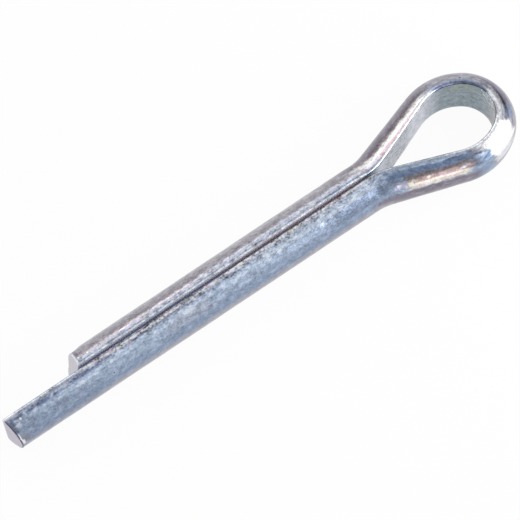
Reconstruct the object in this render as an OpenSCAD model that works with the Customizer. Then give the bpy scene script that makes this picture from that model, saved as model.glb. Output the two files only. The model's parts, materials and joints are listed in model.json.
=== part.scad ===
// Extended-prong cotter pin: one length of half-round wire, folded back on
// itself round a teardrop eye, so that its two flats face each other and its
// two legs make one round shank.
//
// X runs along the shank towards the eye, Y towards the short leg, and Z
// across the flat of the wire. The origin is on the shank's axis, where the
// legs begin to part. The pin lies on its side, along both legs and the eye.

/* [Shank] */
// Diameter of the two legs together
shank_d = 4.47; // [3.6:0.01:5.6]
// Slit between the flats of the two legs
slit = 0.2; // [0.06:0.01:0.4]
// Rounding along the edges of the flats
edge_r = 0.18; // [0.05:0.01:0.3]
// Length of the short leg, from the eye's root to the longest corner of its end
short_l = 30.1; // [15:0.1:60]
// How far the long leg runs on past the short one
prong_l = 8.2; // [3:0.1:14]

/* [Sheared ends] */
// Slant of the short leg's end through the wire, from flat to round
short_back_a = 13.5; // [0:0.5:35]
// Slant of the short leg's end across the flat, from top to bottom
short_side_a = -5.5; // [-15:0.5:15]
// Slant of the long leg's end through the wire, from flat to round
long_back_a = 7; // [0:0.5:35]
// Slant of the long leg's end across the flat, from top to bottom
long_side_a = 9; // [-15:0.5:15]

/* [Eye] */
// Radius of the bend where each leg parts from the shank, along its flat
root_r = 6.5; // [4:0.1:9]
// Angle between each flank of the eye and the shank
flank_a = 20.4; // [16:0.1:28]
// Radius inside the eye's two shoulders
shoulder_r = 4.1; // [3.6:0.05:5.5]
// Radius inside the eye's crown
crown_r = 2.7; // [2.4:0.05:3.5]
// Angle from the shank's axis to where crown and shoulder meet
crown_a = 52; // [40:1:65]
// Thickness of the wire round the eye, where the bend has stretched it
eye_t = 1.86; // [1.6:0.01:2.16]

/* [Hidden] */
$fn = 96;

shank_r = shank_d / 2;

// Half the width of the wire's flat, before its edges are rounded
half_w = sqrt(pow(shank_r, 2) - pow(slit / 2, 2));

// How far the centre of the round lies behind the flat, in a leg and in the eye
leg_in = slit / 2;
eye_in = shank_r - eye_t;

// Centre of the bend at the root, and centre of the shoulder's bend. The flank
// is as long as it takes to rise from the one to the other, and the crown lies
// on the shank's axis.
root_c = [0, slit / 2 + root_r];
shoulder_y = (crown_r - shoulder_r) * sin(crown_a);
flank_l = ((root_r + shoulder_r) * cos(flank_a) + shoulder_y - root_c.y) / sin(flank_a);
shoulder_c = [(root_r + shoulder_r) * sin(flank_a) + flank_l * cos(flank_a), shoulder_y];
crown_x = shoulder_c.x + (shoulder_r - crown_r) * cos(crown_a);

// A stretch of wire runs this far into the next, which is a hair thicker, so
// that the two overlap cleanly
lap = 0.03;
hair = 0.002;

// Length of the blocks that cut the ends off
cut_l = 4 * shank_d;

// A path that leaves one circle and crosses over to the next: the angle
// through which it turns on the first, and its length between them
gap_v = shoulder_c - root_c;
function turn_a(r1, r2) = atan2(gap_v.y, gap_v.x) + asin((r1 + r2) / norm(gap_v));
function cross_l(r1, r2) = sqrt(pow(norm(gap_v), 2) - pow(r1 + r2, 2));

// Straight stretch along X of the section that it is given
module straight(l) {
    $grow = 0;
    rotate([90, 0, 90]) linear_extrude(height = l) children();
}

// Bend round Z from angle a0 to a1, with the middle of the section at radius r
module bend(r, a0, a1, grow = hair) {
    $grow = grow;
    rotate([0, 0, a0]) rotate_extrude(angle = a1 - a0) translate([r, 0]) children();
}

// Carries a section along one side of the pin, from the end of its leg into
// the crown, by so much behind the flat in the leg and in the eye
module along(leg_l, in_leg, in_eye) {
    root = root_r + in_leg;
    shoulder = shoulder_r - in_eye;
    a = turn_a(root, shoulder);
    translate([-leg_l, slit / 2 - in_leg, 0]) straight(leg_l + lap) children();
    translate(root_c) {
        bend(root, -90, a - 90) mirror([1, 0]) children();
        rotate([0, 0, a]) translate([-lap, -root, 0])
            straight(cross_l(root, shoulder) + 2 * lap) children();
    }
    translate(shoulder_c)
        bend(shoulder, crown_a - lap / shoulder_r * 180 / PI, 90 + a) children();
}

// Round rod that the wire's outside belongs to
module rod() {
    circle(r = shank_r + $grow);
}

// Section that leaves the wire its flat, with both edges rounded
module strip() {
    reach = 1.25 * shank_r;
    rise = half_w - edge_r;
    translate([edge_r, -half_w - $grow]) square([reach, 2 * (half_w + $grow)]);
    translate([-$grow, -rise]) square([reach, 2 * rise]);
    for (side = [-1, 1])
        translate([edge_r, side * rise]) circle(r = edge_r + $grow);
}

// One side of the pin: round rod cut back to the flat strip, its leg sheared
// by a plane through the upper corner of the flat
module side(leg_l, back_a, side_a) {
    full_l = leg_l + shank_d;
    difference() {
        intersection() {
            along(full_l, leg_in, eye_in) rod();
            along(full_l, 0, 0) strip();
        }
        translate([-leg_l, slit / 2, half_w]) rotate([0, -side_a, 0]) rotate([0, 0, -back_a])
            translate([-cut_l, -cut_l / 2, -cut_l / 2]) cube(cut_l);
    }
}

module crown() {
    translate([crown_x, 0]) bend(crown_r, -crown_a, crown_a, 2 * hair) intersection() {
        translate([-eye_in, 0]) rod();
        strip();
    }
}

module cotter_pin() {
    color("lightsteelblue") {
        side(short_l, short_back_a, short_side_a);
        mirror([0, 1, 0]) side(short_l + prong_l, long_back_a, long_side_a);
        crown();
    }
}

cotter_pin();
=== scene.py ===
import json
import math

import bpy
import numpy as np
from mathutils import Matrix, Vector, noise


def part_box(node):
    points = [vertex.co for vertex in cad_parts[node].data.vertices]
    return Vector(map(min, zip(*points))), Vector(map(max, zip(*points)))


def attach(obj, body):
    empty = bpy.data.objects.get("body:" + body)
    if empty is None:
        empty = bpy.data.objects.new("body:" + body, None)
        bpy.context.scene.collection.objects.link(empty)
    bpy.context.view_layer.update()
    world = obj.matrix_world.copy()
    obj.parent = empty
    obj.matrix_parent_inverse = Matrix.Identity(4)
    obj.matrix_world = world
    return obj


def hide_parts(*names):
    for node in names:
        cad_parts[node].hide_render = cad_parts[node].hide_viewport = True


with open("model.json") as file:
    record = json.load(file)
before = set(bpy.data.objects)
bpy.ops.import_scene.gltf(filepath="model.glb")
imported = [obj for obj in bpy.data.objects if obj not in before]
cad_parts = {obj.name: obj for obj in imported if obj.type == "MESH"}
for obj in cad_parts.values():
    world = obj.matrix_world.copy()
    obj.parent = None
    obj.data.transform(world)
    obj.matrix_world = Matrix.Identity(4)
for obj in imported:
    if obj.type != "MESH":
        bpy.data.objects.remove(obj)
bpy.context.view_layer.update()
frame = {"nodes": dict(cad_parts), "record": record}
mm = 0.001
degrees = 180 / math.pi
print("frame loaded:", ", ".join(frame["nodes"]))

# the folded wire, in mm and degrees; the shank's radius and the long leg come from the frame
wire = {
    "slit": 0.2,               # between the flats of the two legs
    "shortLeg": 30.1,          # from the eye's root to the longest corner of its end
    "rootRadius": 6.5,         # bend where each leg leaves the shank
    "flankAngle": 20.4,
    "shoulderRadius": 4.1,     # inside the eye's two shoulders
    "crownRadius": 2.7,        # inside the eye's crown
    "crownAngle": 52,          # where crown and shoulder meet
    "eyeThickness": 1.86,      # the bend has stretched the wire here
    "eyeHalfHeight": 2.19,
    "legEdge": 0.2,            # rounding along the edges of the flat
    "eyeEdge": 0.23,
    "legStep": 0.22,           # between the rings of the mesh
    "eyeStep": 0.14,
    "flatPoints": 15,          # of each ring, across the flat, round each edge and round the back
    "edgePoints": 9,
    "roundPoints": 49,
    "wobble": 0.011,           # height of the long, shallow dents from drawing and handling
    # those dents: share of the height, waves per mm along and across the wire, seed
    "dents": ((1.0, 0.5, 0.9, 7.0), (0.6, 1.0, 1.6, 13.0)),
    "dentDepth": 0.6,          # dents fade in over this depth behind the flat
    "bulge": 0.14,             # of the short side's flat, where it leaves the shank
    "bulgeRise": (-1, 2.5),    # where the bulge starts, from the root, and over what length it rises
    "bulgeFall": (2, 10),
    "bow": 0.055,              # of the short leg, sprung away from the long one
    "bowRise": (-12, 36),      # where the bow starts, from the leg's end, and over what length it rises
    "bowFall": (27, 9),
}

# the sheared ends: slants through the wire and across its flat, degrees, and how far the round is crushed, mm
shortShear = {"back": 13.5, "side": -5.5, "crush": 0.60}
longShear = {"back": 7, "side": 9, "crush": 0.0}
shear = {
    "crushTurn": -12,          # the round of the short end is knocked flat here, degrees
    "crushWidth": 33,
    "crushReach": 1.6,
    "edge": 0.07,              # rounding of the sheared edge, mm
    "edgeRings": (0, 0.12, 0.28, 0.5, 0.75, 1, 1.5, 2.3),     # rings by that edge, as shares of it
    "faceRings": (0.985, 0.95, 0.9, 0.82, 0.72, 0.62, 0.52, 0.42, 0.32, 0.22, 0.12),
    "reach": 3.0,              # the rings turn square to the leg over this length
    "rough": 0.024,            # torn grain of the sheared face: height, waves per mm, seed
    "roughWaves": 2.2,
    "roughSeed": 3.0,
    "burr": 0.035,             # lip that the shear has turned up round the end
    "burrReach": 0.16,
    "burrLevels": (0.55, 0.9),     # its middle height, and how much it varies
    "burrWaves": (2, 1.5, 5.0),    # waves per mm along and across the wire, seed
}


def smooth(x):
    x = min(max(x, 0.0), 1.0)
    return x * x * (3 - 2 * x)


def ramp(x, start, length):
    return smooth((x - start) / length)


def wireSection(thick, halfHeight, edge):
    # half-round outline: depth behind the flat, and height across it
    rise = halfHeight - edge
    centre = (edge ** 2 + rise ** 2 - (thick - edge) ** 2) / (2 * (2 * edge - thick))
    radius = thick - centre
    turn = math.atan2(rise, edge - centre)
    outline = [(0.0, z) for z in np.linspace(rise, -rise, wire["flatPoints"])]
    for a in np.linspace(math.pi, 2 * math.pi - turn, wire["edgePoints"])[1:]:
        outline.append((edge + edge * math.cos(a), -rise + edge * math.sin(a)))
    for a in np.linspace(-turn, turn, wire["roundPoints"])[1:]:
        outline.append((centre + radius * math.cos(a), radius * math.sin(a)))
    for a in np.linspace(turn, math.pi, wire["edgePoints"])[1:-1]:
        outline.append((edge + edge * math.cos(a), rise + edge * math.sin(a)))
    return np.array(outline)


def sidePath(legLength, shankRadius):
    # one side of the pin along its flat, from the leg's end to the top of the crown:
    # x, y, heading, length so far, thickness, half height, edge
    w = wire
    flank, crownTurn = math.radians(w["flankAngle"]), math.radians(w["crownAngle"])
    half = w["slit"] / 2
    legThick = shankRadius - half
    legHalf = math.sqrt((shankRadius - w["legEdge"]) ** 2 - (w["legEdge"] + half) ** 2) + w["legEdge"]
    rootY = half + w["rootRadius"]
    shoulderY = (w["crownRadius"] - w["shoulderRadius"]) * math.sin(crownTurn)
    radii = w["rootRadius"] + w["shoulderRadius"]
    flankLength = (radii * math.cos(flank) + shoulderY - rootY) / math.sin(flank)
    shoulderX = radii * math.sin(flank) + flankLength * math.cos(flank)
    crownX = shoulderX + (w["shoulderRadius"] - w["crownRadius"]) * math.cos(crownTurn)
    path = []

    def add(x, y, heading, thin):
        # thin is 0 in the legs, and 1 round the eye
        gone = path[-1][3] + math.hypot(x - path[-1][0], y - path[-1][1]) if path else 0.0
        path.append((x, y, heading, gone, legThick + (w["eyeThickness"] - legThick) * thin,
                     legHalf + (w["eyeHalfHeight"] - legHalf) * smooth(thin),
                     w["legEdge"] + (w["eyeEdge"] - w["legEdge"]) * smooth(thin)))

    def stations(length, step, start=0.0):
        return np.linspace(start, length, max(2, round((length - start) / step)))[1:]

    near = [share * shear["edge"] for share in shear["edgeRings"]]
    for d in near + list(stations(legLength, w["legStep"], near[-1])):
        add(d - legLength, half, 0.0, 0.0)
    for a in stations(flank, w["eyeStep"] / w["rootRadius"]):
        add(w["rootRadius"] * math.sin(a), rootY - w["rootRadius"] * math.cos(a), a, 0.0)
    x, y = path[-1][:2]
    for d in stations(flankLength, w["eyeStep"]):
        add(x + d * math.cos(flank), y + d * math.sin(flank), flank, d / flankLength)
    for a in stations(flank + math.pi / 2 - crownTurn, w["eyeStep"] / w["shoulderRadius"]):
        add(shoulderX + w["shoulderRadius"] * math.sin(a - flank),
            shoulderY + w["shoulderRadius"] * math.cos(a - flank), flank - a, 1.0)
    for a in stations(crownTurn, w["eyeStep"] / w["crownRadius"]):
        add(crownX + w["crownRadius"] * math.cos(crownTurn - a),
            w["crownRadius"] * math.sin(crownTurn - a), crownTurn - a - math.pi / 2, 1.0)
    return path


def dent(point, seed):
    return noise.noise(Vector(point) + Vector((seed, 2 * seed, -seed)))


def waves(gone, q, z, along, across, seed):
    return dent((gone * along, q * across, z * across), seed)


def dentSwell(side, gone, q, z):
    # how far the long, shallow dents move a point of the round
    swell = sum(share * waves(gone, q, z, along, across, side * seed)
                for share, along, across, seed in wire["dents"])
    return wire["wobble"] * swell * ramp(q, 0, wire["dentDepth"])


def shearSwell(side, slants, gone, q, z):
    # how far the crushed end and the burr move it
    along, across, seed = shear["burrWaves"]
    middle, varied = shear["burrLevels"]
    ragged = middle + varied * waves(gone, q, z, along, across, side * seed)
    turn = math.atan2(z, q) * degrees - shear["crushTurn"]
    crushed = math.exp(-(turn / shear["crushWidth"]) ** 2) * (1 - ramp(gone, 0, shear["crushReach"]))
    return (shear["burr"] * ragged * math.exp(-(gone / shear["burrReach"]) ** 2)
            - slants["crush"] * crushed * ramp(q, 0, wire["dentDepth"]))


def sideRings(side, legLength, shankRadius, slants):
    # rings of points along one side, and the place of each point on the wire
    back, across = math.radians(slants["back"]), math.radians(slants["side"])
    rootBulge, fadeBulge = wire["shortLeg"] + wire["bulgeRise"][0], wire["shortLeg"] + wire["bulgeFall"][0]
    rings, places = [], []
    for x, y, heading, gone, thick, halfHeight, edge in sidePath(legLength, shankRadius):
        outline = wireSection(thick, halfHeight, edge)
        q, z = outline[:, 0], outline[:, 1]
        places.append(np.stack([np.full(len(q), gone), q, z], 1))
        inset = 0.0
        if gone < shear["edge"]:
            inset = shear["edge"] - math.sqrt(shear["edge"] ** 2 - (shear["edge"] - gone) ** 2)
        shrink = 1 - inset / (thick / 2)
        q, z = thick / 2 + (q - thick / 2) * shrink, z * shrink
        bulge = bow = 0.0
        if side > 0:
            bulge = wire["bulge"] * ramp(gone, rootBulge, wire["bulgeRise"][1]) * (
                1 - ramp(gone, fadeBulge, wire["bulgeFall"][1]))
            bow = wire["bow"] * ramp(gone, *wire["bowRise"]) * (1 - ramp(gone, *wire["bowFall"]))
        for i in range(len(q)):
            swell = dentSwell(side, gone, q[i], z[i])
            q[i] -= bulge * (1 - q[i] / thick)
            swell += shearSwell(side, slants, gone, q[i], z[i])
            q[i] += swell * (q[i] / thick)
            z[i] += swell * (z[i] / halfHeight)
        slant = (1 - ramp(gone, 0, shear["reach"])) * (
            math.tan(back) / math.cos(across) * q + math.tan(across) * (halfHeight - z))
        rings.append(np.stack([x + slant - q * math.sin(heading),
                               side * (y + bow + q * math.cos(heading)), z], 1))
    return rings, places


def makePin():
    shankRadius = frame["record"]["mounts"][0]["dims"]["r_mm"]
    longLeg = -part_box("cotter_pin")[0].x / mm
    shortRings, shortPlaces = sideRings(1, wire["shortLeg"], shankRadius, shortShear)
    longRings, longPlaces = sideRings(-1, longLeg, shankRadius, longShear)
    total = float(shortPlaces[-1][0][0] + longPlaces[-1][0][0])
    for place in longPlaces:
        place[:, 0] = total - place[:, 0]      # counted from the short leg's end, all the way round
    rings = shortRings + longRings[-2::-1]
    places = shortPlaces + longPlaces[-2::-1]
    count = len(rings[0])
    points, place = np.concatenate(rings).tolist(), np.concatenate(places).tolist()
    cut = [0.0] * len(points)
    faces = []

    def strip(outer, inner, flip):
        for j in range(count):
            k = (j + 1) % count
            quad = (outer[j], inner[j], inner[k], outer[k])
            faces.append(quad[::-1] if flip else quad)

    for i in range(len(rings) - 1):
        strip(range(i * count, (i + 1) * count), range((i + 1) * count, (i + 2) * count), False)
    # each sheared face closes in rings that run in to its middle
    for end, flip in ((0, True), (len(rings) - 1, False)):
        middle, centre = rings[end].mean(0), places[end].mean(0)
        outer = range(end * count, (end + 1) * count)
        for j in outer:
            cut[j] = 0.5      # the sheared edge itself
        for scale in shear["faceRings"]:
            start = len(points)
            for j in range(count):
                p = middle + (rings[end][j] - middle) * scale
                torn = dent(p * shear["roughWaves"], shear["roughSeed"])
                p[0] += shear["rough"] * torn * math.sqrt(1 - scale)
                points.append(p.tolist())
                place.append((centre + (places[end][j] - centre) * scale).tolist())
                cut.append(1.0)
            inner = range(start, start + count)
            strip(outer, inner, flip)
            outer = inner
        points.append(middle.tolist())
        place.append(centre.tolist())
        cut.append(1.0)
        for j in range(count):
            tri = (outer[j], len(points) - 1, outer[(j + 1) % count])
            faces.append(tri[::-1] if flip else tri)

    mesh = bpy.data.meshes.new("cotterPin")
    mesh.from_pydata([[c * mm for c in p] for p in points], [], faces)
    mesh.update()
    mesh.attributes.new("wirePlace", "FLOAT_VECTOR", "POINT").data.foreach_set("vector", np.ravel(place))
    mesh.attributes.new("shearedFace", "FLOAT", "POINT").data.foreach_set("value", cut)
    mesh.polygons.foreach_set("use_smooth", [True] * len(mesh.polygons))
    pin = bpy.data.objects.new("cotterPin", mesh)
    bpy.context.scene.collection.objects.link(pin)
    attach(pin, "root")
    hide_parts("cotter_pin")
    print("pin: %d rings of %d, wire %.1f mm long" % (len(rings), count, total))
    # the wire's length, and where the long leg starts and the short one stops beside it, mm
    return pin, {"length": total, "legStart": total - longLeg, "pairEnd": total - longLeg + wire["shortLeg"]}


class Shade:
    # wraps a socket, so that a sum or product of values adds its Math nodes
    def __init__(self, tree, socket=None):
        self.tree, self.socket = tree, socket

    def node(self, kind, settings=None, sockets=None, out=0):
        made = self.tree.nodes.new("ShaderNode" + kind)
        for name, value in (settings or {}).items():
            if name == "stops":
                while len(made.color_ramp.elements) < len(value):
                    made.color_ramp.elements.new(1)
                for element, (position, colour) in zip(made.color_ramp.elements, value):
                    element.position, element.color = position, (*colour, 1)
            else:
                setattr(made, name, value)
        for name, value in (sockets or {}).items():
            if isinstance(value, Shade):
                self.tree.links.new(value.socket, made.inputs[name])
            elif isinstance(value, tuple) and len(value) == 3 and len(made.inputs[name].default_value) == 4:
                made.inputs[name].default_value = (*value, 1)
            else:
                made.inputs[name].default_value = value
        return Shade(self.tree, made.outputs[out])

    def math(self, operation, *others):
        return self.node("Math", {"operation": operation}, dict(enumerate((self, *others))))

    def __add__(self, other):
        return self.math("ADD", other)

    def __sub__(self, other):
        return self.math("SUBTRACT", other)

    def __rsub__(self, other):
        return self.node("Math", {"operation": "SUBTRACT"}, {0: other, 1: self})

    def __mul__(self, other):
        return self.math("MULTIPLY", other)

    def __truediv__(self, other):
        return self.math("DIVIDE", other)

    __radd__, __rmul__ = __add__, __mul__

    def times(self, value):
        # a colour made lighter or darker
        return self.node("VectorMath", {"operation": "SCALE"}, {0: self, "Scale": value})

    def rise(self, low, high):
        # 0 below low, 1 above high
        return self.node("MapRange", {"interpolation_type": "SMOOTHSTEP", "clamp": False},
                         {"Value": self, "From Min": low, "From Max": high})

    def between(self, low, high, soft):
        return self.rise(low - soft, low + soft) * (1 - self.rise(high - soft, high + soft))

    def levels(self, off, on):
        # a mask's value where it is 0 and where it is 1
        return self * (on - off) + off

    def blend(self, first, second, factor):
        return self.node("Mix", {"data_type": "RGBA"}, {0: factor, 6: first, 7: second}, 2)

    def mix(self, other, factor):
        return self.blend(self, other, factor)

    def grain(self, scale, detail, roughness, stretch, seed):
        # noise from -0.5 to 0.5 on a vector, in mm
        moved = self.node("VectorMath", {"operation": "MULTIPLY_ADD"},
                          {0: self, 1: (stretch, 1, 1), 2: (seed, -seed, 2 * seed)})
        return self.node("TexNoise", {}, {"Vector": moved, "Scale": scale, "Detail": detail,
                                          "Roughness": roughness}) - 0.5

    def parts(self):
        first = self.node("SeparateXYZ", {}, {0: self})
        return [Shade(self.tree, socket) for socket in first.socket.node.outputs]


def newMaterial(name):
    material = bpy.data.materials.new(name)
    material.use_nodes = True
    return material, material.node_tree.nodes["Principled BSDF"], Shade(material.node_tree)


# bright zinc over steel, with the faint blue and rosy tints of its passivation, and the painted highlights,
# painted reflections and painted shade laid into its colour
zinc = {
    "shades": {
        # shades of the plating's tints, and of the painted highlights, painted reflections and painted shade
        # below
        "steelBlue": (0.29, 0.36, 0.49),
        "paleBlue": (0.52, 0.62, 0.79),
        "slate": (0.19, 0.24, 0.34),
        "deepBlue": (0.16, 0.21, 0.37),
        "navy": (0.15, 0.215, 0.35),
        "ocean": (0.14, 0.19, 0.27),
        "deep": (0.045, 0.062, 0.10),
        "violet": (0.20, 0.205, 0.34),
        "rosyGrey": (0.40, 0.385, 0.43),
        "warmGrey": (0.34, 0.335, 0.39),
        "plum": (0.225, 0.20, 0.25),
        "rose": (0.84, 0.74, 0.78),
        "peach": (0.78, 0.69, 0.63),
        "umber": (0.21, 0.18, 0.19),
        "russet": (0.37, 0.27, 0.265),
        "blush": (0.46, 0.29, 0.33),
        "white": (0.97, 0.97, 0.97),
        "graphite": (0.19, 0.195, 0.22),
        "silver": (0.58, 0.62, 0.72),
        "pearl": (0.82, 0.83, 0.88),
        "lilac": (0.45, 0.47, 0.55),
        "teal": (0.215, 0.265, 0.30),
        # painted highlight lines along the edges and ends, and a painted shade line by the slit and the ends
        "highlightLine": (0.86, 0.90, 0.96),
        "coolHighlight": (0.74, 0.88, 1.0),
        "creamHighlight": (0.86, 0.85, 0.80),
        "shadeLine": (0.09, 0.09, 0.14),
        # flecks: painted glints, then the plating's yellow and pink specks and its pits
        "glintFleck": (0.90, 0.94, 1.0),
        "yellowFleck": (0.70, 0.70, 0.48),
        "pinkFleck": (0.76, 0.54, 0.66),
        "pit": (0.07, 0.08, 0.12),
        "moss": (0.31, 0.34, 0.26),
        # painted highlight on the burr round the long end
        "lipHighlight": (0.90, 0.87, 0.85),
        "shortFace": (0.52, 0.50, 0.55),     # torn faces of the sheared ends
        "longFace": (0.37, 0.335, 0.44),
        "slitLight": (0.66, 0.67, 0.79),      # pale, dull colour on the flats where they face each other: painted light in the slit
        "slitLightWarm": (0.70, 0.64, 0.70),      # the warmer painted light in the slit nearer the eye
    },
    # shades of the two sides, and where along the wire the one becomes the other, mm; the plating's blue and
    # rosy tints, the difference between the legs partly a painted reflection of their surroundings
    "sides": ("rosyGrey", "steelBlue", (49, 56)),
    # strokes of tint and of painted light, most of them painted highlights, painted reflections and painted
    # shade: shade; first and last place along the wire and softness, mm; lowest and highest place round it
    # and softness, degrees from the middle of its back; lean, degrees per mm; strength
    "strokes": {
        # on the short leg: a painted highlight streak in rose and silver, with painted shade in plum and
        # slate beside it
        "shortOuter": ("plum", (-5, 14, 3), (46, 66, 6), 0, 0.22),
        "shortGlint": ("rose", (1.2, 14, 0.8), (70, 76, 2.0), 0, 0.62),
        "shortPale": ("silver", (13, 29, 2), (70, 76, 2.0), 0, 0.6),
        "shortShade": ("slate", (-5, 29, 2), (76.5, 84, 1.5), 0, 0.62),
        # on the short side's flank: a painted white highlight with pink-red fringes, painted shade in plum
        # below it and in slate along its edge
        "rootPlum": ("plum", (28, 44, 2), (10, 64, 4), 1.3, 0.85),
        "rootGlint": ("white", (29.8, 39.6, 0.9), (65.5, 79, 2.2), 1.7, 0.95),
        "rootRedLow": ("russet", (30.0, 38.5, 0.8), (61.5, 67.5, 1.5), 1.7, 0.7),
        "rootRedTop": ("blush", (32.5, 39.0, 0.6), (80.0, 85.5, 1), 0.8, 1.0),
        "rootEdge": ("slate", (26, 31.8, 0.6), (82, 95, 2), 0, 0.85),
        # on the shoulder: its rosy grey, with painted reflections in lilac and steel blue and a painted dark
        # line along its edge
        "shoulder": ("rosyGrey", (39.5, 44.5, 1.5), (-95, 95, 1), 0, 0.55),
        "shoulderPale": ("lilac", (40.2, 44.2, 0.8), (66, 78, 4), 0, 0.5),
        "shoulderBlue": ("steelBlue", (39.8, 44.5, 1.0), (76, 84, 2), 0, 0.5),
        "shoulderEdge": ("deepBlue", (39.8, 46.8, 0.8), (83, 95, 1.5), 0, 0.85),
        # on the crown: painted white and pearl highlights and sheen, and painted dark reflections in plum,
        # violet, steel blue, navy and deep blue beside them, with a painted shade line along its edge
        "crownEdge": ("pearl", (45.3, 51, 0.4), (76, 95, 3), 0, 0.85),
        "crownDusk": ("plum", (44.3, 47.2, 0.4), (44, 66, 5), 0, 0.82),
        "crownViolet": ("violet", (44.1, 46.6, 0.35), (58.5, 65.5, 2.5), 0, 0.9),
        "crownIndigo": ("steelBlue", (46.4, 47.4, 0.25), (40, 76, 5), 0, 1.0),
        "crownShadow": ("violet", (46.35, 47.25, 0.2), (42, 57, 4), 0, 0.45),
        "crownSheen": ("pearl", (44.6, 47.4, 0.5), (67, 84, 2), 0, 0.75),
        "crownEdgeShade": ("rosyGrey", (46.3, 47.6, 0.25), (84, 95, 1.5), 0, 0.7),
        "crownHighlight": ("white", (47.7, 49.95, 0.25), (22, 62, 5), 0, 0.95),
        "crownHighlightTop": ("white", (47.7, 50.5, 0.25), (64, 78, 4), 0, 0.75),
        "crownHighlightLow": ("pearl", (48.2, 49.9, 0.3), (6, 26, 5), 0, 0.85),
        "crownBlue": ("steelBlue", (50.15, 51.9, 0.3), (-30, 42, 5), 0, 1.0),
        "crownNavy": ("ocean", (50.15, 51.7, 0.2), (38, 65, 4), 0, 0.95),
        "crownDeep": ("deep", (50.3, 50.85, 0.2), (45, 66, 4), 0, 0.9),
        # on the long side's flank: a painted peach highlight with a russet fringe, a pale painted highlight
        # along its top, and painted dark reflections in navy, umber, graphite, plum and slate round them
        "navyFlank": ("navy", (51.1, 59.5, 0.5), (59, 75, 3), -0.7, 0.9),
        "flankTop": ("paleBlue", (51.5, 61.5, 1.5), (76, 84, 2), 0, 0.6),
        "flankEdge": ("graphite", (52.0, 60.5, 1.5), (85, 100, 2), 0, 0.7),
        "darkFlank": ("umber", (51.5, 57.5, 0.5), (48, 60, 3), -0.4, 1.0),
        "redFringe": ("russet", (51.4, 58.6, 0.5), (38.5, 50, 2.5), -0.6, 1.0),
        "peachGlint": ("peach", (51.8, 57.6, 0.6), (25, 39, 2.5), -0.6, 0.95),
        "peachStart": ("umber", (51.6, 52.6, 0.25), (42, 57, 3), 0, 1.0),
        "lowerPlum": ("plum", (51.1, 61, 0.4), (-95, 20, 4), 0, 0.95),
        "peachUnder": ("umber", (52.5, 57.5, 0.8), (13, 20, 2.5), -0.3, 0.6),
        "navyRoot": ("slate", (57.2, 65, 1.2), (30, 58, 5), 0, 0.85),
        # along the long leg: painted highlight bands in pale blue, silver and pearl, and painted shade and
        # reflections in slate, violet, deep blue and warm grey, over its steel blue
        "brightBand": ("paleBlue", (60.5, 94, 1.5), (58, 74, 3), 0, 0.9),
        "rimBand": ("silver", (60.5, 110, 1.5), (75.5, 86, 2), 0, 0.75),
        "rimGlint": ("pearl", (80, 91, 1.5), (77, 85, 2), 0, 0.28),
        "tipRim": ("steelBlue", (90, 110, 1.5), (74.5, 84, 2), 0, 0.45),
        "bodyBlue": ("paleBlue", (66, 92, 3), (38, 58, 5), 0, 0.45),
        "bandShade": ("slate", (58.5, 65, 1.5), (38, 58, 4), 0, 0.5),
        "bandCore": ("pearl", (60.5, 73, 1.5), (61, 68, 2.5), 0, 0.3),
        "tipBand": ("paleBlue", (90, 97, 2), (54, 68, 6), 0, 0.45),
        "violetPatch": ("lilac", (78, 82.5, 0.8), (38, 66, 6), 0, 0.45),
        "upperBlue": ("violet", (74, 91, 2), (73, 78, 2), 0, 0.45),
        "tipBlue": ("deepBlue", (89, 110, 2), (69.5, 76, 2.0), 0, 0.8),
        "lowerBlue": ("slate", (66, 105, 6), (13, 24, 5), 0, 0.35),
        "lowerWarm": ("warmGrey", (59, 105, 2), (-95, 9, 5), 0, 0.95),
        "tipDark": ("slate", (90, 110, 2), (-95, 32, 6), 0, 0.5),
    },
    # hazy patches, whose reflections are softer: places as above, share
    "haze": {
        "glint": ((29.6, 39.6, 0.7), (65.5, 79, 2), 1.5, 0.35),
        "crown": ((45.0, 47.4, 0.5), (69, 84, 3), 0, 0.3),
    },
    # shades of the flat, from place to place along the wire, mm; the teal, graphite and umber inside the eye
    # are painted shade, standing in for darker reflections there
    "flat": [(39.2, "lilac"), (41.2, "teal"), (45.2, "teal"), (46.0, "graphite"), (49, "graphite"),
             (51, "umber"), (62, "lilac")],
    # noises: grains per mm, detail, roughness, stretch along the wire, seed
    "noises": {
        "fleck": (1 / 0.42, 2, 0.6, 0.6, 0),
        "speck": (1 / 0.16, 1, 0.5, 0.7, 21),
        "patchy": (0.5, 2, 0.5, 1, 9),
        "border": (0.9, 2, 0.5, 0.45, 5),
        # the noise that breaks up the painted edge lines
        "lineBreaks": (1.3, 2, 0.6, 0.5, 14),
        "tinge": (1.7, 2, 0.6, 1, 33),
        "streaks": (2.2, 2, 0.5, 0.22, 2),
    },
    "softPatchy": 0.35,       # share of the patches in the pale flecks, which are painted glints
    # how far the noise moves a stroke's border round the wire, degrees, and along it, mm
    "raggedTurn": 8,
    "raggedAlong": 1.12,
    "raggedEnd": 0.128,       # and a mark's border by a sheared end
    "relief": 0.012,          # height of the grain, mm, what it is made of and where it is
    "reliefParts": {"everywhere": 0.175, "fleck": 0.8, "streaks": 0.35, "patchy": 0.5, "speck": 0.25},
    "reliefAreas": {"everywhere": 0.55, "longLeg": 0.45, "shortRim": 0.4},
    "roughness": {"everywhere": 0.24, "slit": 0.4, "speck": 0.1, "patchy": 0.08},
    "dull": {"slit": 0.85, "hazy": 1, "rounded": 0.6},     # how much less metallic
}

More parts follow.
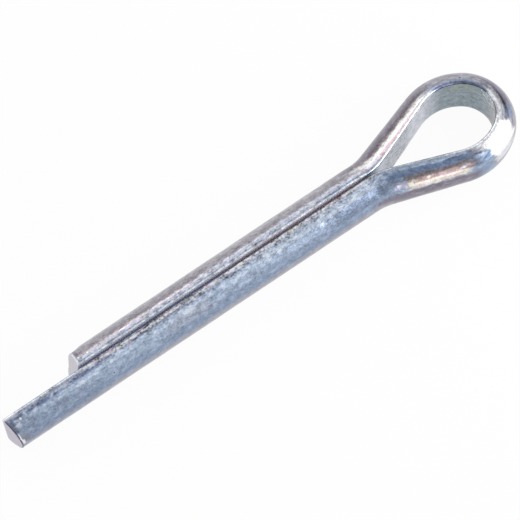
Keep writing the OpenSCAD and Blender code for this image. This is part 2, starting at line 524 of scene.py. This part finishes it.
# areas of the wire; three numbers: first and last place along it and softness, mm, or in degrees round it
# where noted; two numbers: where the area begins and where it is full
areas = {
    "flat": (0.01, 0.05),          # it ends here, depth behind it in mm
    "flatEdge": (1.6, 1.9),        # height across it, mm
    "longLeg": (57, 62),
    "legBody": (60, 90, 2),        # the long leg beside the short one, without its root
    "eye": (33, 56, 2),
    "eyeSides": (31, 60, 2),
    "crownFlat": (39.5, 45.5, 1),
    "offMiddle": (10, 50),         # the round without the middle of its back, degrees
    "rim": (62, 80),               # the round next to the flat, degrees
    "rimBody": (0.4, 1),           # the rim's strength off the long leg's body and on it
    "rimEye": (1, 0.2),            # and off the eye and on it
    "shortRim": (66, 72),          # degrees
    "glare": (47.5, 52, 1.5),      # the painted white highlight on the crown
    "glareTurn": (70, 80),         # it fades out here, degrees
    "warm": (51.5, 59, 1),         # the warm glint on the long side's flank
    "warmTurn": (24, 50, 4),       # degrees
    "band": (58, 62),              # the bright band along the long leg, its reflection strengthened by painted highlight
    "bandTurn": (56, 76, 7),       # degrees
    "bandWarm": 0.8,               # share of the warm glint in it
    "slitSoft": 0.8,               # softness of the painted light in the slit, by the eye
    "slitStop": (-0.6, 0.2),       # and where it stops, from the short leg's end
    # where the painted light in the slit is warmer, mm
    "slitLightWarm": (16, 76, 5),
}


def wireAreas(tree, span):
    # where a point lies on the wire, the noises there, and how far it is in each area, from 0 to 1
    place = tree.node("Attribute", {"attribute_name": "wirePlace"}, out=1)
    cut = tree.node("Attribute", {"attribute_name": "shearedFace"}, out=2)
    along, depth, height = place.parts()
    turn = height.math("ARCTAN2", depth) * degrees
    side = turn.math("ABSOLUTE")
    at = {name: place.grain(*values) for name, values in zinc["noises"].items()}
    ragged = at["border"] + at["fleck"]
    raggedAlong = along + ragged * zinc["raggedAlong"]
    flat = 1 - depth.rise(*areas["flat"])
    longLeg = along.rise(*areas["longLeg"])
    warm = along.between(*areas["warm"]) * turn.between(*areas["warmTurn"])
    stop, stopped = areas["slitStop"]
    facing = (1 - along.between(wire["shortLeg"], span["legStart"], areas["slitSoft"])
              - along.rise(span["pairEnd"] + stop, span["pairEnd"] + stopped))
    at.update({
        "everywhere": 1, "along": along, "depth": depth, "height": height, "turn": turn, "cut": cut,
        "raggedAlong": raggedAlong,
        "raggedTurn": turn + ragged * zinc["raggedTurn"],
        "shortEnd": along + ragged * zinc["raggedEnd"],
        "longEnd": span["length"] - along + ragged * zinc["raggedEnd"],
        "soft": at["fleck"] + at["patchy"] * zinc["softPatchy"],
        "dust": at["fleck"] + at["speck"],
        "rosy": at["tinge"] * -1,
        "flat": flat,
        "longLeg": longLeg,
        "eye": along.between(*areas["eye"]),
        "offMiddle": side.rise(*areas["offMiddle"]),
        "plainFlat": flat * (1 - along.between(*areas["crownFlat"])),
        "rim": (side.rise(*areas["rim"]) * (1 - flat)
                * along.between(*areas["legBody"]).levels(*areas["rimBody"])
                * along.between(*areas["eyeSides"]).levels(*areas["rimEye"])),
        "shortRim": side.rise(*areas["shortRim"]) * (1 - longLeg),
        "glare": raggedAlong.between(*areas["glare"]) * (1 - flat) * (1 - side.rise(*areas["glareTurn"])),
        "warm": warm,
        "band": side.between(*areas["bandTurn"]) * along.rise(*areas["band"]) + warm * areas["bandWarm"],
        "slit": flat * (1 - cut) * facing,
    })
    return at


def total(at, shares):
    return sum(at[name] * share for name, share in shares.items())


def stroke(at, alongRange, turnRange, lean):
    leant = at["raggedTurn"] - (at["along"] - (alongRange[0] + alongRange[1]) / 2) * lean
    return at["raggedAlong"].between(*alongRange) * leant.between(*turnRange)


# painted highlight and painted shade lines along the flat's edges: where they lie, from 0 on the flat to 1
# where the round begins, and strength
edges = {
    "lineBreaks": ((-0.15, 0.10), (0.45, 1)),            # a noise's range, and strength below and above it; it breaks up the painted lines
    "cool": ((0.2, 0.95, 0.15), 0.9),
    "bright": ((0.0, 1.3, 0.25), 0.8),
    "brightGap": (40.2, 45.2, 0.5),                # no bright line here, mm along the wire
    "brightFaint": ((46.3, 47.7, 0.25), (1, 0.1)),
    "cream": (0.7, 1.35, 0.2),
    "creamFade": ((89, 92), (0.85, 0.5)),
    "dark": ((0.3, 0.7), 0.8),
    "darkEnds": 0.6,                               # softness, mm
    "lower": (((60, 90.5, 1.5), 0.3), ((78, 90.5, 3), 0.4)),     # cream and dark move out on the long leg
}


def paintEdgeLightAndShade(colour, at, span):
    # painted highlight lines along the flat's edges, and a painted shade line on the long leg's edge by the
    # slit
    shades, along = zinc["shades"], at["along"]
    breakRange, breakLevels = edges["lineBreaks"]
    (coolEdge, cool), (brightEdge, bright), (darkEdge, dark) = edges["cool"], edges["bright"], edges["dark"]
    (faintAlong, faintLevels), (fadeAlong, fadeLevels) = edges["brightFaint"], edges["creamFade"]
    edge = at["depth"] / wire["legEdge"]
    outer = at["height"].math("ABSOLUTE").rise(*areas["flatEdge"])
    outer = outer * at["lineBreaks"].rise(*breakRange).levels(*breakLevels)
    colour = colour.mix(shades["coolHighlight"], edge.between(*coolEdge) * outer
                        * (1 - at["longLeg"]) * (1 - at["eye"]) * cool)
    at["rounded"] = (edge.between(*brightEdge) * outer * at["eye"] * (1 - along.between(*edges["brightGap"]))
                     * along.between(*faintAlong).levels(*faintLevels))
    colour = colour.mix(shades["highlightLine"], at["rounded"] * bright)
    lowered = edge
    for alongRange, amount in edges["lower"]:
        lowered = lowered - along.between(*alongRange) * amount
    colour = colour.mix(shades["creamHighlight"], lowered.between(*edges["cream"]) * outer * at["longLeg"]
                        * along.rise(*fadeAlong).levels(*fadeLevels))
    paired = along.between(span["legStart"], span["pairEnd"], edges["darkEnds"])
    return colour.mix(shades["shadeLine"], (1 - lowered.rise(*darkEdge)) * paired * (1 - at["flat"]) * dark)


# grain and flecks of the plating, strongest by the edges of the long leg; the pale flecks and the sparkle are
# painted glints
grainLook = {
    "contrast": 3.2,
    "fleckWeight": 1.2,       # against the specks
    "darkest": 0.25,          # of the colour under it
    "glareLevels": (1, 0.5),  # off the crown's painted highlight and on it
    "shares": {"everywhere": 0.19, "offMiddle": 0.12, "rim": 0.5, "plainFlat": 0.1},
    # shade; noise; where it begins to show and is full; share in each area
    "flecks": {
        "glints": ("glintFleck", "soft", (0.05, 0.20), {"everywhere": 0.06, "band": 0.5}),
        "yellow": ("yellowFleck", "tinge", (0.06, 0.18), {"everywhere": 0.05, "rim": 0.25, "warm": 0.5}),
        "pink": ("pinkFleck", "rosy", (0.06, 0.16), {"everywhere": 0.05, "rim": 0.4, "warm": 0.25}),
        "pits": ("pit", "speck", (0.12, 0.24), {"everywhere": 0.08, "rim": 0.05, "flat": 0.15, "warm": 0.25}),
    },
    # on the eye's flat: shade; place along the wire; height; noise; where it begins and is full; strength
    "flatFlecks": {
        "moss": ("moss", (41.6, 44.4, 0.5), (0.9, 2.0, 0.3), "tinge", (-0.10, 0.10), 0.7),
        "dust": ("pit", (32.6, 36.4, 0.5), (-9, 9, 1), "dust", (-0.02, 0.06), 0.8),
        "sparkle": ("glintFleck", (44.6, 47.4, 0.4), (0.85, 9, 0.65), "speck", (0.02, 0.10), 0.6),
    },
}


def paintGrain(colour, at):
    shades = zinc["shades"]
    grain = ((at["fleck"] * grainLook["fleckWeight"] + at["speck"]) * grainLook["contrast"]
             * total(at, grainLook["shares"]) * at["glare"].levels(*grainLook["glareLevels"]))
    colour = colour.times((1 + grain).math("MAXIMUM", grainLook["darkest"]))
    # painted glints, then the plating's coloured specks and pits
    for shade, name, limits, shares in grainLook["flecks"].values():
        colour = colour.mix(shades[shade], at[name].rise(*limits) * total(at, shares))
    for shade, alongRange, heightRange, name, limits, strength in grainLook["flatFlecks"].values():
        patch = at["flat"] * at["along"].between(*alongRange) * at["height"].between(*heightRange)
        colour = colour.mix(shades[shade], patch * at[name].rise(*limits) * strength)
    return colour


# the sheared ends, with painted highlights and painted shade round them, and the largest painted highlight
# beads and pit specks of the plating
ends = {
    # marks behind the torn face, most of them painted shade and painted highlights: shade; end; nearest and
    # farthest place from its face and softness, mm; place round the wire, plain or ragged, and softness,
    # degrees; strength
    "marks": {
        "plumBand": ("plum", "shortEnd", (0.14, 0.45, 0.08), "turn", (36, 64, 5), 0.7),
        "shadeWedge": ("shadeLine", "longEnd", (0.05, 0.5, 0.15), "turn", (42, 76, 6), 0.6),
        "curlHighlight": ("pearl", "longEnd", (-0.5, 1.2, 0.2), "turn", (81.5, 180, 2.5), 0.85),
        "umberBand": ("umber", "longEnd", (0.3, 1.1, 0.2), "turn", (8, 32, 6), 0.5),
        "lipHighlight": ("lipHighlight", "longEnd", (0.10, 0.24, 0.05), "raggedTurn", (8, 40, 4), 0.9),
        "lipHighlightLow": ("lipHighlight", "longEnd", (0.20, 0.42, 0.08), "raggedTurn", (3, 20, 4), 0.8),
    },
    "shortEdge": ((0.05, 0.16), (40, 60), (0.25, 0.85)),     # painted highlight line round the short end's edge: reach; place round the wire; strengths there
    "longEdge": ((0.06, 0.16), (0.2, 0.4), 0.9),             # painted shade line round the long end's edge: reach; depth behind the flat; strength
    "face": (0.5, 1.0),           # where the torn face's own shade begins and is full
    # painted highlight beads and pit specks: place along the wire, mm; place round it, degrees; radius, mm
    "spots": {
        "highlightLine": [(97.8, 68, 0.13), (1.25, 74, 0.10), (0.28, 73, 0.10)],
        "pit": [(42.7, 72, 0.09), (40.1, 66, 0.05), (88.6, 36, 0.08)],
    },
    "spotEdge": (0.6, 1.2),       # shares of the radius
    "spotStrength": 0.9,
    "perDegree": 0.038,           # mm round the wire
}


def paintEnds(colour, at, tree):
    shades = zinc["shades"]
    for shade, end, reach, turn, turnRange, strength in ends["marks"].values():
        colour = colour.mix(shades[shade], at[end].between(*reach) * at[turn].between(*turnRange)
                            * (1 - at["flat"]) * strength)
    # a painted highlight line round the short end's edge, and a painted shade line round the long end's
    reach, turnRange, levels = ends["shortEdge"]
    colour = colour.mix(shades["highlightLine"], (1 - at["shortEnd"].rise(*reach))
                        * at["turn"].rise(*turnRange).levels(*levels))
    reach, depth, strength = ends["longEdge"]
    colour = colour.mix(shades["shadeLine"], (1 - at["longEnd"].rise(*reach))
                        * at["depth"].rise(*depth) * strength)
    # painted highlight beads and dark pit specks
    inner, outer = ends["spotEdge"]
    for shade, spots in ends["spots"].items():
        for spotAlong, spotTurn, radius in spots:
            a, r = at["along"] - spotAlong, (at["turn"] - spotTurn) * ends["perDegree"]
            far = (a * a + r * r).math("SQRT")
            spot = 1 - far.rise(radius * inner, radius * outer)
            colour = colour.mix(shades[shade], spot * ends["spotStrength"])
    face = tree.blend(shades["shortFace"], shades["longFace"], at["longLeg"])
    return colour.mix(face, at["cut"].rise(*ends["face"]))


def zincPlate(span):
    material, bsdf, tree = newMaterial("zincPlate")
    shades, at = zinc["shades"], wireAreas(tree, span)
    shortSide, longSide, change = zinc["sides"]
    colour = tree.blend(shades[shortSide], shades[longSide], at["raggedAlong"].rise(*change))
    # the strokes lay painted highlights, painted reflections and painted shade over the tints
    for shade, alongRange, turnRange, lean, strength in zinc["strokes"].values():
        colour = colour.mix(shades[shade], stroke(at, alongRange, turnRange, lean) * strength)
    at["hazy"] = sum(stroke(at, alongRange, turnRange, lean) * share
                     for alongRange, turnRange, lean, share in zinc["haze"].values())
    low, high = zinc["flat"][0][0], zinc["flat"][-1][0]
    stops = [((along - low) / (high - low), shades[shade]) for along, shade in zinc["flat"]]
    flatColour = tree.node("ValToRGB", {"stops": stops}, {0: (at["raggedAlong"] - low) / (high - low)})
    colour = paintEdgeLightAndShade(colour.mix(flatColour, at["flat"]), at, span)
    colour = paintEnds(paintGrain(colour, at), at, tree)
    # the flats facing each other in the slit get a pale painted light
    colour = colour.mix(shades["slitLight"], at["slit"])
    colour = colour.mix(shades["slitLightWarm"], at["slit"] * at["along"].between(*areas["slitLightWarm"]))
    relief = total(at, zinc["reliefParts"]) * total(at, zinc["reliefAreas"])
    bump = tree.node("Bump", {}, {"Strength": 1, "Distance": zinc["relief"] * mm, "Height": relief})
    for name, value in (("Base Color", colour), ("Normal", bump), ("Metallic", 1 - total(at, zinc["dull"])),
                        ("Roughness", total(at, zinc["roughness"]))):
        tree.tree.links.new(value.socket, bsdf.inputs[name])
    print("zinc plate: %d strokes, %d shades" % (len(zinc["strokes"]), len(shades)))
    return material


pin, span = makePin()
pin.data.materials.append(zincPlate(span))

view = {
    "azimuth": -39.9, "elevation": 62.72, "roll": 3.02,   # degrees
    "focal": 865.4,           # mm
    "distance": 1.054, "aim": (-0.01115, -0.00015, 0.0), "clip": (0.1, 20),
}


def put(thing, point, back, roll=0.0):
    # puts a camera or light at a point, with its back turned along a direction
    bpy.context.scene.collection.objects.link(thing)
    thing.matrix_world = (Matrix.Translation(point) @ back.to_track_quat("Z", "Y").to_matrix().to_4x4()
                          @ Matrix.Rotation(math.radians(roll), 4, "Z"))


def makeCamera():
    a, e = math.radians(view["azimuth"]), math.radians(view["elevation"])
    back = Vector((math.sin(a) * math.cos(e), -math.cos(a) * math.cos(e), math.sin(e)))
    data = bpy.data.cameras.new("camera")
    data.lens = view["focal"]
    data.clip_start, data.clip_end = view["clip"]
    camera = bpy.data.objects.new("camera", data)
    put(camera, Vector(view["aim"]) + back * view["distance"], back, view["roll"])
    bpy.context.scene.camera = camera


# the studio: a pale room with soft windows; middle and half width in azimuth, softness, lowest and highest
# elevation, softness, degrees, and brightness
room = {
    "level": 0.8,
    "windows": {
        "strip": (-102, 5, 3, -90, 26, 7, 2.2),
        "back": (76, 12, 6, 34, 52, 7, 1.9),
        "backShade": (93, 9, 4, -90, 22, 6, -0.5),
        "doorway": (10, 20, 8, -90, 32, 8, -0.68),
        "cameraSide": (-150, 45, 20, -90, 62, 14, -0.35),
        "zenith": (0, 180, 1, 74, 90, 8, -0.25),
    },
    "floor": (0.97, 0.97, 0.97),
    "floorWhite": 0.95,       # share of the floor that shows as plain white
    "floorHalf": 3.0,         # m
}
# soft boxes: middle of the box, the point that it faces, width, height, m, and watts per square metre
softBoxes = {
    "right": ((0.041, -0.056, 0.022), (0.041, 0.0, 0.022), 0.038, 0.050, 12.0),
    "farRight": ((0.0935, -0.048, 0.052), (0.0845, 0.0, 0.052), 0.054, 0.110, 12.0),
}


def makeWorld():
    world = bpy.data.worlds.new("studio")
    world.use_nodes = True
    bpy.context.scene.world = world
    tree = Shade(world.node_tree)
    x, y, z = tree.node("TexCoord").parts()
    length = (x * x + y * y).math("SQRT")
    up = z.math("ARCSINE") * degrees
    light = room["level"]
    for middle, half, soft, low, high, softUp, brightness in room["windows"].values():
        a = math.radians(middle)
        aside = ((x * math.cos(a) + y * math.sin(a)) / length).math("ARCCOSINE") * degrees
        inside = (1 - aside.rise(half - soft, half + soft)) * up.between(low, high, softUp)
        light = inside * brightness + light
    background = world.node_tree.nodes["Background"]
    background.inputs["Color"].default_value = (1, 1, 1, 1)
    world.node_tree.links.new(light.socket, background.inputs["Strength"])
    for name, (middle, aim, width, height, power) in softBoxes.items():
        data = bpy.data.lights.new(name, "AREA")
        data.shape = "RECTANGLE"
        data.size, data.size_y = width, height
        data.energy = power * width * height
        box = bpy.data.objects.new(name, data)
        box.visible_camera = False
        put(box, Vector(middle), Vector(middle) - Vector(aim))
    print("studio: %d windows, %d soft boxes" % (len(room["windows"]), len(softBoxes)))


def makeFloor():
    z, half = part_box("cotter_pin")[0].z, room["floorHalf"]
    corners = [(x * half, y * half, z) for x, y in ((-1, -1), (1, -1), (1, 1), (-1, 1))]
    mesh = bpy.data.meshes.new("floor")
    mesh.from_pydata(corners, [], [(0, 1, 2, 3)])
    floor = bpy.data.objects.new("floor", mesh)
    bpy.context.scene.collection.objects.link(floor)
    material, bsdf, tree = newMaterial("floor")
    bsdf.inputs["Base Color"].default_value = (*room["floor"], 1)
    bsdf.inputs["Roughness"].default_value = 1
    bsdf.inputs["Specular IOR Level"].default_value = 0
    straight, glossy, through = (tree.node("LightPath", out="Is %s Ray" % kind)
                                 for kind in ("Camera", "Glossy", "Transmission"))
    seen = straight.math("MAXIMUM", glossy).math("MAXIMUM", through)
    surface = tree.node("MixShader", {}, {
        0: seen * room["floorWhite"], 1: Shade(tree.tree, bsdf.outputs[0]), 2: tree.node("Emission")})
    tree.tree.links.new(surface.socket, tree.tree.nodes["Material Output"].inputs["Surface"])
    mesh.materials.append(material)
    print("camera, light and floor are set")


makeCamera()
makeWorld()
makeFloor()
bpy.context.scene.view_settings.view_transform = "Standard"
